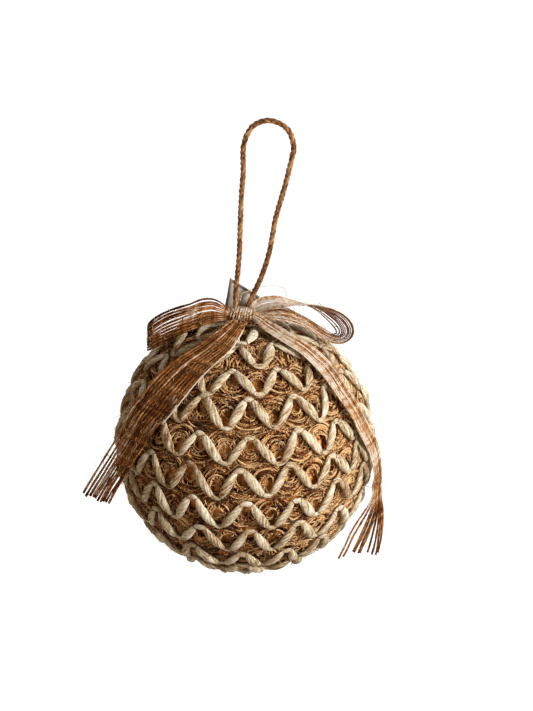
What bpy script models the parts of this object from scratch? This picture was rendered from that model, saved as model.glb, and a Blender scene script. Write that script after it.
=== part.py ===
"""Lace ball ornament: a thread-wrapped ball covered with rings of jute braid, a cream cord
couched in zigzags along each ring, a woven jute bow on top and a twine loop to hang it by.

The ball is built round its own centre (ball frame: Z up through the bow, -Y to the front),
in millimetres times MM.  Everything is parented to one empty that puts the inside top of the
twine loop at the world origin and tilts the ball so that its weight hangs plumb below it.
"""

import math

import bmesh
import bpy
from mathutils import Matrix, Vector

MM = 0.001

# ---- driving dimensions (mm and degrees, ball frame) -----------------------------------
CORE_RADIUS = 46.5            # wrapped core ball
LACE_INNER_RADIUS = 47.45     # facets of the braid stay clear of the core
LACE_OUTER_RADIUS = 48.5
CORD_LINE_RADIUS = 50.55      # centre line of the cream cords
CORD_RADIUS = 1.3
RIBBON_THICKNESS = 0.9
TWINE_RADIUS = 1.05
GAP = 0.3

ROW_TOP_LATITUDE = 79.6       # middle of the topmost row
ROW_PITCH = 14.8              # latitude from row to row
ROW_HALF_HEIGHT = 6.2         # half height of a zigzag
LACE_HALF_WIDTH = 6.65        # half width of a braid ring, in degrees of latitude
LACE_SCALLOP = 0.45           # how far its scallops stand out of that
TURN_SHARE = 0.10             # flat part of each turn, as a share of the period

# one row: turns round the ball, longitude of one lower turn, spacing of the turns in front
ROWS = [
    (4, 20.0, 90.0),
    (8, 13.2, 47.0),
    (11, 7.5, 32.0),
    (14, 14.9, 25.7),
    (15, 13.8, 23.4),
    (16, 8.9, 22.2),
    (16, 11.3, 22.7),
    (15, 13.6, 24.0),
    (14, 9.1, 25.2),
    (10, 17.0, 36.0),
    (6, 20.0, 60.0),
    (3, 40.0, 120.0),
]

# inside top of the twine loop, where the ornament hangs
HANG_POINT = Vector((8.5, 0.0, 131.75))

# centre line of the twine, left foot over the top to the right foot
TWINE_ROUTE = [
    (-3.3, 2.2, 58.4), (-3.2, 1.9, 66.0), (-2.4, 1.7, 74.0), (-1.9, 1.4, 84.0),
    (-1.8, 1.0, 98.4), (-0.9, 0.6, 112.8), (-0.9, 0.3, 121.5), (0.6, 0.2, 127.4),
    (3.8, 0.0, 131.3), (8.5, 0.0, 132.8), (13.2, 0.0, 131.5), (16.8, 0.1, 128.0),
    (18.3, 0.3, 122.5), (17.6, 0.4, 117.5), (14.9, 0.8, 106.0), (11.5, 1.2, 93.2),
    (9.4, 1.5, 80.2), (6.2, 1.8, 69.3), (3.4, 2.0, 62.4), (1.5, 2.1, 58.9),
]

# ribbon sections: one edge and the other edge, from the knot outwards
LOOP_LEFT = [
    ((-3.7, -1.7, 56.5), (-3.7, -1.4, 54.7)),
    ((-6.0, -2.0, 57.3), (-6.0, -1.7, 54.3)),
    ((-9.9, -3.5, 60.1), (-9.9, -2.4, 53.5)),
    ((-13.7, -5.0, 61.6), (-13.8, -2.9, 52.3)),
    ((-17.6, -6.0, 62.2), (-17.7, -3.2, 50.9)),
    ((-21.5, -6.0, 61.8), (-21.7, -3.1, 49.1)),
    ((-26.1, -5.5, 60.4), (-26.4, -2.6, 47.3)),
    ((-32.4, -4.0, 57.1), (-32.3, -1.6, 43.8)),
    ((-36.4, -2.5, 54.1), (-35.9, -0.7, 41.3)),
    ((-37.9, -0.3, 51.8), (-38.1, 0.8, 39.5)),
    ((-36.4, 2.3, 51.0), (-36.2, 2.6, 40.2)),
    ((-31.4, 8.0, 50.8), (-30.8, 2.6, 44.2)),
    ((-25.6, 11.0, 53.2), (-25.4, 1.6, 47.3)),
    ((-20.9, 12.5, 55.2), (-21.0, 1.0, 49.5)),
    ((-17.8, 13.0, 56.4), (-17.7, 0.9, 50.8)),
    ((-14.4, 12.3, 57.0), (-14.2, 0.9, 52.0)),
    ((-10.8, 8.6, 57.0), (-10.7, 0.8, 53.2)),
    ((-6.6, 4.0, 55.9), (-6.5, 0.9, 54.3)),
    ((-3.7, 2.4, 55.3), (-3.7, 0.6, 54.7)),
]
LOOP_RIGHT = [
    ((1.4, 2.4, 55.9), (1.4, -0.9, 55.8)),
    ((5.3, 3.4, 59.4), (4.9, -1.8, 57.2)),
    ((9.6, 4.3, 61.0), (9.5, -3.6, 58.6)),
    ((15.1, 6.0, 59.5), (14.9, -5.2, 60.0)),
    ((21.4, 7.2, 57.6), (21.1, -5.8, 61.0)),
    ((25.4, 6.8, 55.7), (26.5, -6.0, 60.9)),
    ((28.1, 6.0, 53.6), (31.2, -6.0, 60.1)),
    ((30.9, 5.0, 51.0), (35.8, -6.0, 58.5)),
    ((33.0, 4.6, 48.8), (39.8, -6.0, 55.8)),
    ((34.6, 4.9, 46.6), (42.2, -6.0, 52.1)),
    ((35.0, 5.8, 45.2), (42.4, -6.0, 48.8)),
    ((33.9, 6.9, 44.6), (40.6, -6.0, 46.0)),
    ((31.6, 7.6, 45.9), (37.2, -6.0, 44.7)),
    ((29.0, 7.9, 47.5), (33.3, -6.0, 46.1)),
    ((26.4, 7.9, 49.0), (29.0, -6.0, 49.4)),
    ((23.0, 7.8, 50.9), (23.9, -6.0, 53.1)),
    ((18.9, 7.0, 53.1), (19.2, -5.3, 55.0)),
    ((13.4, 5.2, 55.0), (13.4, -4.2, 54.9)),
    ((8.0, 3.0, 54.9), (8.0, -2.6, 54.6)),
    ((2.2, 1.4, 54.4), (2.2, -1.2, 54.3)),
]
TAIL_LEFT = [
    ((-3.0, -0.8, 53.9), (-1.2, -1.2, 53.7)),
    ((-4.4, -4.6, 54.2), (-1.2, -5.4, 53.5)),
    ((-6.8, -8.0, 54.3), (-1.6, -9.8, 52.7)),
    ((-11.7, -16.0, 53.3), (-6.3, -21.8, 48.4)),
    ((-16.7, -19.0, 50.7), (-10.9, -26.4, 45.1)),
    ((-22.4, -20.2, 47.1), (-15.0, -28.9, 42.1)),
    ((-28.5, -22.7, 43.5), (-19.8, -31.9, 37.8)),
    ((-33.8, -26.0, 39.7), (-24.5, -34.4, 32.6)),
    ((-38.5, -27.6, 33.9), (-29.1, -35.5, 27.0)),
    ((-43.9, -27.6, 27.0), (-34.2, -35.4, 20.3)),
    ((-48.5, -25.8, 17.9), (-38.2, -34.4, 14.0)),
    ((-52.6, -24.2, 10.2), (-42.2, -32.9, 7.0)),
    ((-57.2, -22.5, 2.0), (-46.1, -30.9, -0.5)),
    ((-61.9, -20.5, -6.5), (-50.1, -28.3, -8.1)),
    ((-65.5, -18.6, -13.4), (-53.5, -25.5, -15.4)),
]
TAIL_RIGHT = [
    ((0.9, -0.9, 55.9), (0.9, -0.7, 53.5)),
    ((3.0, -2.4, 56.6), (2.6, -3.0, 53.6)),
    ((6.4, -2.8, 55.3), (4.6, -6.2, 53.3)),
    ((9.9, -4.6, 53.3), (7.4, -10.8, 52.2)),
    ((17.8, -8.9, 50.2), (14.5, -16.0, 49.2)),
    ((25.3, -11.1, 46.3), (20.8, -18.7, 45.8)),
    ((31.9, -13.3, 41.2), (27.0, -22.3, 40.8)),
    ((35.8, -15.6, 37.0), (30.8, -24.3, 36.8)),
    ((39.7, -18.3, 31.3), (34.3, -26.3, 31.9)),
    ((44.2, -19.3, 24.0), (39.5, -27.0, 24.7)),
    ((47.6, -18.8, 16.8), (42.9, -27.5, 17.6)),
    ((51.4, -14.6, 7.6), (46.7, -24.8, 9.6)),
    ((53.0, -10.6, 1.4), (48.6, -21.6, 4.2)),
    ((54.2, -8.5, -8.8), (50.6, -18.6, -5.6)),
    ((54.3, -9.0, -14.6), (49.6, -17.6, -11.5)),
    ((54.4, -11.0, -25.1), (45.8, -18.6, -19.5)),
    ((53.4, -12.0, -35.0), (41.4, -20.4, -29.5)),
    ((52.5, -12.5, -43.0), (37.0, -22.0, -40.0)),
]
KNOT_CENTRE = (-1.2, 0.0, 55.25)
KNOT_SIZE = (9.9, 7.6, 4.7)

# outline of the grey tab in its own upright plane (x, z), and where that plane stands
TAB_OUTLINE = [(-2.9, 58.3), (-7.9, 58.0), (-6.0, 69.3), (-4.4, 68.4), (6.4, 61.9), (2.9, 58.3),
               (2.9, 54.6), (-2.9, 54.6)]
TAB_Y = 6.1
TAB_THICKNESS = 0.7


# ---- helpers ---------------------------------------------------------------------------
def clear_scene():
    for obj in list(bpy.data.objects):
        bpy.data.objects.remove(obj, do_unlink=True)


def new_collection(name):
    coll = bpy.data.collections.new(name)
    bpy.context.scene.collection.children.link(coll)
    return coll


def material(name, color, roughness, metallic=0.0):
    mat = bpy.data.materials.new(name)
    mat.use_nodes = True
    bsdf = mat.node_tree.nodes["Principled BSDF"]
    bsdf.inputs["Base Color"].default_value = (*color, 1.0)
    bsdf.inputs["Roughness"].default_value = roughness
    bsdf.inputs["Metallic"].default_value = metallic
    mat.diffuse_color = (*color, 1.0)
    return mat


def on_ball(longitude, latitude, radius):
    """Point over the ball: longitude from the front meridian towards +X, in metres."""
    lon, lat = math.radians(longitude), math.radians(latitude)
    return Vector((radius * math.cos(lat) * math.sin(lon),
                   -radius * math.cos(lat) * math.cos(lon),
                   radius * math.sin(lat))) * MM


def row_latitude(row):
    return ROW_TOP_LATITUDE - ROW_PITCH * row


def row_reach(row):
    """Upper and lower latitude of a row's zigzag; the two polar rows are shorter."""
    mid = row_latitude(row)
    return min(mid + ROW_HALF_HEIGHT, 84.0), max(mid - ROW_HALF_HEIGHT, -85.0)


def turn_longitude(row, t):
    """Longitude at turn number t of a row (0 is a lower turn, 0.5 the next upper one)."""
    count, phase, front_step = ROWS[row]
    squeeze = 1.0 - front_step * count / 360.0
    angle = t * 2.0 * math.pi / count
    return phase + math.degrees(angle - squeeze * math.sin(angle))


def smooth_route(points, steps):
    """Centripetal-like smooth curve through the given points, with steps to each span."""
    pts = [Vector(p) for p in points]
    ext = [pts[0] * 2 - pts[1]] + pts + [pts[-1] * 2 - pts[-2]]
    out = []
    for i in range(1, len(ext) - 2):
        p0, p1, p2, p3 = ext[i - 1], ext[i], ext[i + 1], ext[i + 2]
        for s in range(steps):
            t = s / steps
            out.append(0.5 * ((2 * p1) + (p2 - p0) * t + (2 * p0 - 5 * p1 + 4 * p2 - p3) * t ** 2
                              + (3 * p1 - p0 - 3 * p2 + p3) * t ** 3))
    out.append(pts[-1])
    return out


def mesh_object(name, bm, coll, mat, parent):
    mesh = bpy.data.meshes.new(name)
    bm.to_mesh(mesh)
    bm.free()
    mesh.materials.append(mat)
    obj = bpy.data.objects.new(name, mesh)
    coll.objects.link(obj)
    obj.parent = parent
    return obj


def tube_object(name, points, radius, resolution, cyclic, coll, mat, parent):
    curve = bpy.data.curves.new(name, "CURVE")
    curve.dimensions = "3D"
    curve.bevel_depth = radius
    curve.bevel_resolution = resolution
    curve.use_fill_caps = not cyclic
    spline = curve.splines.new("POLY")
    spline.points.add(len(points) - 1)
    for point, co in zip(spline.points, points):
        point.co = (*co, 1.0)
    spline.use_cyclic_u = cyclic
    curve.materials.append(mat)
    obj = bpy.data.objects.new(name, curve)
    coll.objects.link(obj)
    obj.parent = parent
    return obj


def ribbon_strip(name, sections, steps, coll, mat, parent):
    """Flat ribbon through its sections: a grid whose rows follow them, then Solidify."""
    left = smooth_route([s[0] for s in sections], steps)
    right = smooth_route([s[1] for s in sections], steps)
    rows = len(left)
    bm = bmesh.new()
    bmesh.ops.create_grid(bm, x_segments=1, y_segments=rows - 1, size=1.0)
    for vert in bm.verts:
        row = round((vert.co.y + 1.0) / 2.0 * (rows - 1))
        vert.co = (left[row] if vert.co.x < 0 else right[row]) * MM
    obj = mesh_object(name, bm, coll, mat, parent)
    solid = obj.modifiers.new("thickness", "SOLIDIFY")
    solid.thickness = RIBBON_THICKNESS * MM
    solid.offset = 0.0
    obj.hide_render = True
    obj.display_type = "WIRE"
    return obj


# ---- scene -----------------------------------------------------------------------------
clear_scene()
parts = new_collection("lace_ball_ornament")
cutters = new_collection("cutters")

satin = material("core_satin", (0.42, 0.19, 0.06), 0.45)
jute = material("jute_braid", (0.27, 0.14, 0.06), 0.9)
cream = material("cream_cord", (0.72, 0.62, 0.45), 0.85)
ribbon = material("jute_ribbon", (0.25, 0.12, 0.05), 0.85)
twine = material("hanging_twine", (0.33, 0.16, 0.06), 0.85)
grey = material("grey_tab", (0.31, 0.29, 0.27), 0.6)

# the ball hangs plumb: its centre lies straight below the hanging point
tilt = -math.atan2(HANG_POINT.x, HANG_POINT.z)
hang = bpy.data.objects.new("hang_frame", None)
parts.objects.link(hang)
turn = Matrix.Rotation(tilt, 4, "Y")
hang.matrix_world = Matrix.Translation(-(turn @ (HANG_POINT * MM))) @ turn

# core ball
bm = bmesh.new()
bmesh.ops.create_uvsphere(bm, u_segments=24, v_segments=12, radius=CORE_RADIUS * MM)
core = mesh_object("core_ball", bm, parts, satin, hang)
core.data.shade_smooth()

# braid rings: a lens-shaped section spun round the axis, its edges then scalloped
for row, (count, phase, step) in enumerate(ROWS):
    mid = row_latitude(row)
    top = min(mid + LACE_HALF_WIDTH, 86.5)
    low = max(mid - LACE_HALF_WIDTH, -86.5)
    section = [(LACE_INNER_RADIUS, low), (LACE_INNER_RADIUS, top), (LACE_OUTER_RADIUS, top),
               (LACE_OUTER_RADIUS, (top + low) / 2), (LACE_OUTER_RADIUS, low)]
    segments = 2 * count if count > 6 else 12
    bm = bmesh.new()
    verts = [bm.verts.new(on_ball(0.0, lat, radius)) for radius, lat in section]
    edges = [bm.edges.new((verts[i], verts[(i + 1) % len(verts)])) for i in range(len(verts))]
    bmesh.ops.spin(bm, geom=verts + edges, cent=(0, 0, 0), axis=(0, 0, 1), angle=2 * math.pi,
                   steps=segments, use_duplicate=False)
    bmesh.ops.remove_doubles(bm, verts=bm.verts, dist=0.00001)
    for vert in bm.verts:
        radius = vert.co.length / MM
        lat = math.degrees(math.asin(max(-1.0, min(1.0, vert.co.z / vert.co.length))))
        index = round(math.degrees(math.atan2(vert.co.x, -vert.co.y)) / 360.0 * segments)
        lon = index * 360.0 / segments
        if count > 6:
            lower_turn = index % 2 == 0
            lon = turn_longitude(row, index / 2.0)
            if abs(lat - top) < 0.5 and top < 86:
                lat = top - LACE_SCALLOP / 2 + (LACE_SCALLOP if lower_turn else 0.0)
            elif abs(lat - low) < 0.5 and low > -86:
                lat = low + LACE_SCALLOP / 2 - (0.0 if lower_turn else LACE_SCALLOP)
        vert.co = on_ball(lon, lat, radius)
    bmesh.ops.recalc_face_normals(bm, faces=bm.faces)
    mesh_object(f"lace_ring_{row + 1:02d}", bm, parts, jute, hang)

# cream cords: closed zigzags with a short flat at every turn
for row, (count, phase, step) in enumerate(ROWS):
    high, low = row_reach(row)
    route = []
    for k in range(count):
        for t, lat in ((k - TURN_SHARE / 2, low), (k + TURN_SHARE / 2, low),
                       (k + 0.5 - TURN_SHARE / 2, high), (k + 0.5 + TURN_SHARE / 2, high)):
            route.append(on_ball(turn_longitude(row, t), lat, CORD_LINE_RADIUS))
    tube_object(f"cream_cord_{row + 1:02d}", route, CORD_RADIUS * MM, 0, True, parts, cream, hang)

# bow: wrapped knot, with the two loops and the two tails joined to it
bm = bmesh.new()
bmesh.ops.create_uvsphere(bm, u_segments=12, v_segments=8, radius=0.5)
for vert in bm.verts:
    # a barrel lying along X: squarer than a ball, a little waisted at its middle
    swap = Vector((vert.co.z, vert.co.x, vert.co.y)) * 2.0
    round_off = Vector(tuple(math.copysign(abs(c) ** 0.8, c) for c in swap))
    waist = 1.0 - 0.06 * (1.0 - abs(round_off.x))
    vert.co = Vector((round_off.x * KNOT_SIZE[0] / 2, round_off.y * waist * KNOT_SIZE[1] / 2,
                      round_off.z * waist * KNOT_SIZE[2] / 2)) * MM + Vector(KNOT_CENTRE) * MM
bmesh.ops.recalc_face_normals(bm, faces=bm.faces)
bow = mesh_object("ribbon_bow", bm, parts, ribbon, hang)
for name, sections, steps in (("bow_loop_left", LOOP_LEFT, 1), ("bow_loop_right", LOOP_RIGHT, 1),
                              ("bow_tail_left", TAIL_LEFT, 1), ("bow_tail_right", TAIL_RIGHT, 1)):
    strip = ribbon_strip(name, sections, steps, cutters, ribbon, hang)
    join = bow.modifiers.new(name, "BOOLEAN")
    join.operation = "UNION"
    join.solver = "EXACT"
    join.object = strip

# twine loop
route = [p * MM for p in smooth_route(TWINE_ROUTE, 2)]
tube_object("hanging_twine", route, TWINE_RADIUS * MM, 2, False, parts, twine, hang)

# grey tab: a flat outline, thickened, standing behind the knot
tab = bpy.data.curves.new("grey_tab", "CURVE")
tab.dimensions = "2D"
tab.fill_mode = "BOTH"
tab.extrude = TAB_THICKNESS / 2 * MM
spline = tab.splines.new("POLY")
spline.points.add(len(TAB_OUTLINE) - 1)
for point, (x, z) in zip(spline.points, TAB_OUTLINE):
    point.co = (x * MM, z * MM, 0.0, 1.0)
spline.use_cyclic_u = True
tab.materials.append(grey)
tab_obj = bpy.data.objects.new("grey_tab", tab)
parts.objects.link(tab_obj)
tab_obj.parent = hang
tab_obj.location = (0.0, TAB_Y * MM, 0.0)
tab_obj.rotation_euler = (math.radians(90.0), 0.0, 0.0)

bpy.context.view_layer.update()
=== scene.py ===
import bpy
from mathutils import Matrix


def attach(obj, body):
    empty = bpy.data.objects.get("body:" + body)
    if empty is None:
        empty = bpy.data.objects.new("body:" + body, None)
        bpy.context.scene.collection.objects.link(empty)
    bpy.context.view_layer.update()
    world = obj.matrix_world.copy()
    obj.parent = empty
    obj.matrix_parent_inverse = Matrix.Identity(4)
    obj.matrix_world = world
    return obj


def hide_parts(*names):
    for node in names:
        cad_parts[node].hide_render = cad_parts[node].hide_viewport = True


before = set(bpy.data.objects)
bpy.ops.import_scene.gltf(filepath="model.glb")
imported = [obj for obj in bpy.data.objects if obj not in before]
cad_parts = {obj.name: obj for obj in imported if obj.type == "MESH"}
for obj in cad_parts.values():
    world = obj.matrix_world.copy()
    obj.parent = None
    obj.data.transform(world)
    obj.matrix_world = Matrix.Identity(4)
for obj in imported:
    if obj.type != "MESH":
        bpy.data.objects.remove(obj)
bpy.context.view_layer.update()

import math

import bpy
import numpy as np
from mathutils import Matrix, Vector

# =========================================================================================
# Sizes, in mm and degrees, in the ball frame: Z through the bow, -Y to the front.
# =========================================================================================
CORE_R = 47.25
GROUND_R = 47.8               # the braid's close ground, under its yarns, coloured near-black as painted shade in the gaps between them
EDGE_R = 48.75                # the yarns that run along the braid's edges
LACE_R = 49.05                # the yarns that swing round the eyelets
CORD_R = 51.0                 # centre line of the cream cord between its stitches
ROW_TOP, ROW_PITCH, ROW_HALF = 79.6, 14.8, 6.3
ROWS = [                      # turns, longitude of a lower turn, spacing in front
    (4, 20.0, 90.0), (8, 13.2, 47.0), (11, 7.5, 32.0), (14, 14.9, 25.7), (15, 13.8, 23.4),
    (16, 8.9, 22.2), (16, 11.3, 22.7), (15, 13.6, 24.0), (14, 9.1, 25.2), (10, 17.0, 36.0),
    (6, 20.0, 60.0), (3, 40.0, 120.0),
]
# the listed turns of the front, as longitude and latitude from left to right
TURNS = {
    0: [(-74.0, 67.6), (-40.0, 82.0), (-6.3, 73.8), (40.0, 84.0), (88.8, 69.1), (137.0, 80.0), (190.0, 72.0),
        (237.0, 79.5)],
    1: [(-101.0, 61.5), (-72.8, 54.5), (-52.0, 70.5), (-31.0, 58.0), (-10.3, 71.3), (12.1, 58.4), (37.7, 70.7),
        (57.0, 57.5), (76.0, 68.0), (89.0, 54.5), (115.0, 68.0)],
    2: [(-88.0, 39.5), (-77.0, 51.7), (-60.0, 43.5), (-41.0, 55.0), (-23.6, 43.8), (-10.4, 55.8), (9.0, 44.6),
        (25.0, 55.8), (38.9, 43.4), (54.5, 53.5), (72.0, 43.5), (88.0, 53.5), (105.0, 43.0)],
    3: [(-86.0, 27.5), (-76.0, 36.3), (-63.0, 29.0), (-49.0, 42.0), (-35.7, 29.4), (-25.7, 42.6), (-9.6, 28.9),
        (1.7, 42.2), (14.7, 29.4), (29.2, 41.6), (40.4, 28.4), (53.8, 41.5), (66.0, 28.5), (77.5, 42.0),
        (88.0, 29.0), (99.0, 42.0)],
    4: [(-45.7, 26.7), (-32.3, 15.1), (-22.8, 25.9), (-9.1, 13.9), (1.7, 25.3), (15.4, 13.3), (26.2, 26.7),
        (38.3, 14.2), (49.6, 25.6), (59.2, 14.8), (71.0, 27.0), (82.0, 14.5), (93.0, 27.0)],
    5: [(-57.3, -1.0), (-47.3, 12.2), (-36.0, -0.9), (-25.7, 12.3), (-12.4, -2.3), (-2.4, 11.1), (9.7, -0.6),
        (20.0, 12.4), (31.7, 0.2), (42.0, 11.8), (53.2, 1.4), (61.1, 12.2)],
    6: [(-64.3, -1.3), (-54.4, -13.5), (-44.2, -1.3), (-33.9, -15.7), (-23.8, -2.9), (-12.6, -17.0),
        (0.6, -4.1), (12.2, -17.5), (22.9, -4.7), (33.7, -14.5), (44.1, 0.1), (56.7, -12.9), (66.0, -0.3)],
    7: [(-57.1, -28.7), (-45.1, -14.4), (-35.3, -29.3), (-21.4, -18.4), (-9.1, -32.1), (2.1, -19.2),
        (14.0, -32.8), (25.1, -16.8), (38.4, -29.0), (49.1, -15.8), (62.5, -30.2)],
    8: [(-29.9, -32.2), (-15.4, -46.7), (-1.4, -36.0), (11.0, -48.0), (23.2, -35.2), (34.0, -47.0),
        (45.0, -31.5)],
}
HANG = np.array([8.5, 0.0, 131.75])
TWINE_ROUTE = [
    (-3.9, 1.7, 54.9), (-3.9, 2.0, 58.2), (-3.6, 1.9, 66.0), (-2.8, 1.7, 74.0), (-2.2, 1.4, 84.0),
    (-1.8, 1.0, 98.4), (-0.9, 0.6, 112.8), (-0.9, 0.3, 121.5), (0.6, 0.2, 127.4),
    (3.8, 0.0, 131.3), (8.5, 0.0, 132.8), (13.2, 0.0, 131.5), (16.8, 0.1, 128.0),
    (18.3, 0.3, 122.5), (17.6, 0.4, 117.5), (14.9, 0.8, 106.0), (11.5, 1.2, 93.2),
    (9.3, 1.5, 80.2), (6.0, 1.8, 69.3), (2.9, 2.0, 62.2), (1.3, 2.0, 58.2), (0.3, 1.7, 54.9),
]
LOOP_LEFT = [
    ((-3.7, -1.6, 56.3), (-3.7, -1.3, 53.9)), ((-6.4, -1.8, 57.4), (-6.4, -1.5, 52.9)),
    ((-9.1, -2.5, 60.5), (-9.9, -2.0, 52.5)), ((-12.8, -4.0, 62.9), (-13.8, -2.8, 52.0)),
    ((-17.2, -5.4, 63.3), (-17.7, -3.2, 50.7)), ((-21.5, -6.0, 61.8), (-21.7, -3.2, 49.0)),
    ((-25.3, -6.0, 60.7), (-25.6, -3.0, 47.1)), ((-29.3, -5.6, 59.2), (-29.5, -2.5, 45.0)),
    ((-33.2, -4.5, 56.8), (-33.5, -1.6, 42.6)), ((-36.6, -2.5, 53.6), (-36.9, -0.5, 40.1)),
    ((-38.4, 0.6, 50.2), (-38.6, 0.4, 39.2)), ((-37.9, 3.4, 47.0), (-38.2, 1.7, 39.1)),
    ((-36.0, 7.2, 43.8), (-36.2, 2.4, 40.0)), ((-32.8, 11.2, 41.8), (-33.0, 2.6, 42.2)),
    ((-29.4, 13.6, 42.8), (-29.7, 2.6, 43.9)), ((-25.5, 15.0, 45.0), (-25.7, 2.4, 45.9)),
    ((-21.8, 15.4, 47.4), (-21.8, 2.2, 47.9)), ((-17.8, 14.6, 49.6), (-17.8, 2.0, 49.6)),
    ((-13.8, 11.6, 51.6), (-13.9, 1.8, 51.1)), ((-10.0, 6.6, 53.4), (-10.0, 1.4, 52.3)),
    ((-6.5, 2.4, 54.6), (-6.5, 0.9, 53.2)), ((-3.7, 1.6, 54.9), (-3.7, 0.8, 53.9)),
]
LOOP_RIGHT = [
    ((0.8, 1.2, 56.4), (0.8, -0.6, 54.8)), ((2.6, 1.7, 59.2), (2.5, -1.2, 54.7)),
    ((4.9, 3.5, 60.2), (4.9, -2.4, 56.2)), ((7.2, 4.6, 60.7), (7.2, -3.6, 57.6)),
    ((9.6, 5.2, 60.9), (9.5, -4.6, 58.5)), ((12.7, 5.8, 60.6), (12.6, -5.4, 59.4)),
    ((15.5, 6.4, 59.5), (15.7, -5.8, 60.0)), ((21.4, 7.0, 57.3), (21.1, -6.0, 60.8)),
    ((25.4, 6.8, 55.4), (26.5, -6.0, 60.9)), ((28.1, 6.0, 53.6), (31.2, -6.0, 60.1)),
    ((30.9, 5.0, 51.0), (35.8, -6.0, 58.5)), ((33.0, 4.6, 48.8), (39.8, -6.0, 55.8)),
    ((34.6, 4.7, 46.8), (42.2, -6.0, 52.1)), ((35.0, 5.2, 45.4), (42.4, -6.0, 48.8)),
    ((34.4, 5.4, 45.0), (40.6, -6.0, 46.0)), ((33.0, 4.8, 46.0), (37.2, -6.0, 44.5)),
    ((31.0, 4.2, 47.5), (33.7, -6.0, 44.9)), ((28.5, 4.0, 49.2), (31.0, -6.0, 46.5)),
    ((25.3, 4.0, 51.2), (27.4, -6.0, 49.0)), ((22.2, 4.0, 53.0), (24.0, -6.0, 51.0)),
    ((19.2, 4.0, 54.6), (20.6, -6.0, 52.6)), ((15.9, 4.0, 56.0), (17.0, -6.0, 53.5)),
    ((12.7, 4.0, 56.4), (13.4, -5.6, 54.2)), ((9.6, 3.5, 55.9), (9.5, -4.8, 54.5)),
    ((6.5, 2.5, 55.3), (6.4, -3.0, 54.5)), ((3.3, 1.2, 55.0), (3.3, -1.2, 54.3)),
    ((1.2, 0.8, 54.9), (1.2, -0.8, 54.2)),
]
TAIL_LEFT = [
    ((-3.0, -0.8, 53.9), (-0.2, -1.2, 53.7)), ((-4.4, -4.6, 54.2), (-0.2, -5.4, 53.4)),
    ((-6.8, -8.0, 54.3), (-0.6, -9.8, 52.5)), ((-11.7, -16.0, 53.3), (-5.5, -21.5, 48.6)),
    ((-16.7, -19.0, 50.7), (-10.9, -26.4, 45.1)), ((-22.4, -20.2, 47.1), (-15.0, -28.9, 42.1)),
    ((-28.5, -22.7, 43.5), (-19.8, -31.9, 37.8)), ((-33.8, -26.0, 39.7), (-24.5, -34.4, 32.6)),
    ((-38.5, -27.6, 33.9), (-29.1, -35.5, 27.0)), ((-43.9, -27.6, 27.0), (-34.2, -35.4, 20.3)),
    ((-48.5, -25.8, 17.9), (-38.2, -34.4, 14.0)), ((-52.6, -24.2, 10.2), (-42.2, -32.9, 7.0)),
    ((-57.2, -22.5, 2.0), (-46.1, -30.9, -0.5)), ((-61.9, -20.5, -6.5), (-50.1, -28.3, -8.1)),
    ((-65.5, -18.6, -13.4), (-53.5, -25.5, -15.4)),
]
TAIL_RIGHT = [
    ((0.9, -0.9, 55.9), (0.9, -0.7, 53.5)), ((3.0, -2.4, 56.6), (2.6, -3.0, 53.6)),
    ((6.4, -2.8, 55.3), (4.6, -6.2, 53.3)), ((9.9, -4.6, 53.3), (7.4, -10.8, 52.2)),
    ((17.8, -8.9, 50.2), (14.5, -16.0, 49.2)), ((25.3, -11.1, 46.3), (20.8, -18.7, 45.8)),
    ((31.9, -13.3, 41.2), (27.0, -22.3, 40.8)), ((35.8, -15.6, 37.0), (30.8, -24.3, 36.8)),
    ((39.7, -18.3, 31.3), (34.3, -26.3, 31.9)), ((44.2, -19.3, 24.0), (39.5, -27.0, 24.7)),
    ((47.6, -18.8, 16.8), (42.9, -27.5, 17.6)), ((51.4, -14.6, 7.6), (46.7, -24.8, 9.6)),
    ((53.0, -10.6, 1.4), (48.6, -21.6, 4.2)), ((54.2, -8.5, -8.8), (50.6, -18.6, -5.6)),
    ((54.3, -9.0, -14.6), (49.6, -17.6, -11.5)),
]
RIBBON_W = 14.0

rng = np.random.default_rng(20)

tilt = -math.atan2(HANG[0], HANG[2])
TURN = np.array([[math.cos(tilt), 0, math.sin(tilt)], [0, 1, 0], [-math.sin(tilt), 0, math.cos(tilt)]])


def to_row(points):
    """Ball frame in mm to the row frame in metres."""
    return (np.asarray(points, float) - HANG) @ TURN.T * 0.001


# =========================================================================================
# Camera (before the pieces): 0.9 m off, 23 degrees above the ball's equator
# =========================================================================================
CAM_DIST, CAM_ELEV, MM_PER_PX = 900.0, 23.0, 0.4
AIM_PX = (245.5, 443.4)       # where the ball's centre falls in a 533 x 711 frame
f_px = CAM_DIST / MM_PER_PX
e = math.radians(CAM_ELEV)
cam_data = bpy.data.cameras.new("camera")
cam_data.lens = f_px / 711.0 * 36.0
cam_data.sensor_width = 36.0
cam_data.clip_start = 0.05
cam_data.clip_end = 50.0
cam = bpy.data.objects.new("camera", cam_data)
bpy.context.scene.collection.objects.link(cam)
bpy.context.scene.camera = cam
cam_ball = np.array([0.0, -math.cos(e), math.sin(e)]) * CAM_DIST
world_back = Vector(TURN @ (cam_ball / CAM_DIST))
world_up = Vector(TURN @ np.array([0.0, math.sin(e), math.cos(e)]))
world_right = world_up.cross(world_back)
look = Matrix((world_right, world_up, world_back)).transposed().to_quaternion()
local = Vector((AIM_PX[0] - 266.5, -(AIM_PX[1] - 355.5), -f_px)).normalized()
look = look @ local.rotation_difference(Vector((0, 0, -1)))
cam.rotation_mode = "QUATERNION"
cam.rotation_quaternion = look
cam.location = Vector(to_row(cam_ball))


def seen(x, y, near):
    """Ball frame point at place (x, y) of the front view, near mm in front of the ball's centre."""
    away = -cam_ball / CAM_DIST
    up = np.array([0.0, math.sin(e), math.cos(e)])
    d = away * CAM_DIST + np.array([1.0, 0, 0]) * (x - AIM_PX[0]) * MM_PER_PX - up * (y - AIM_PX[1]) * MM_PER_PX
    return cam_ball + d * (CAM_DIST - near) / CAM_DIST


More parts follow.
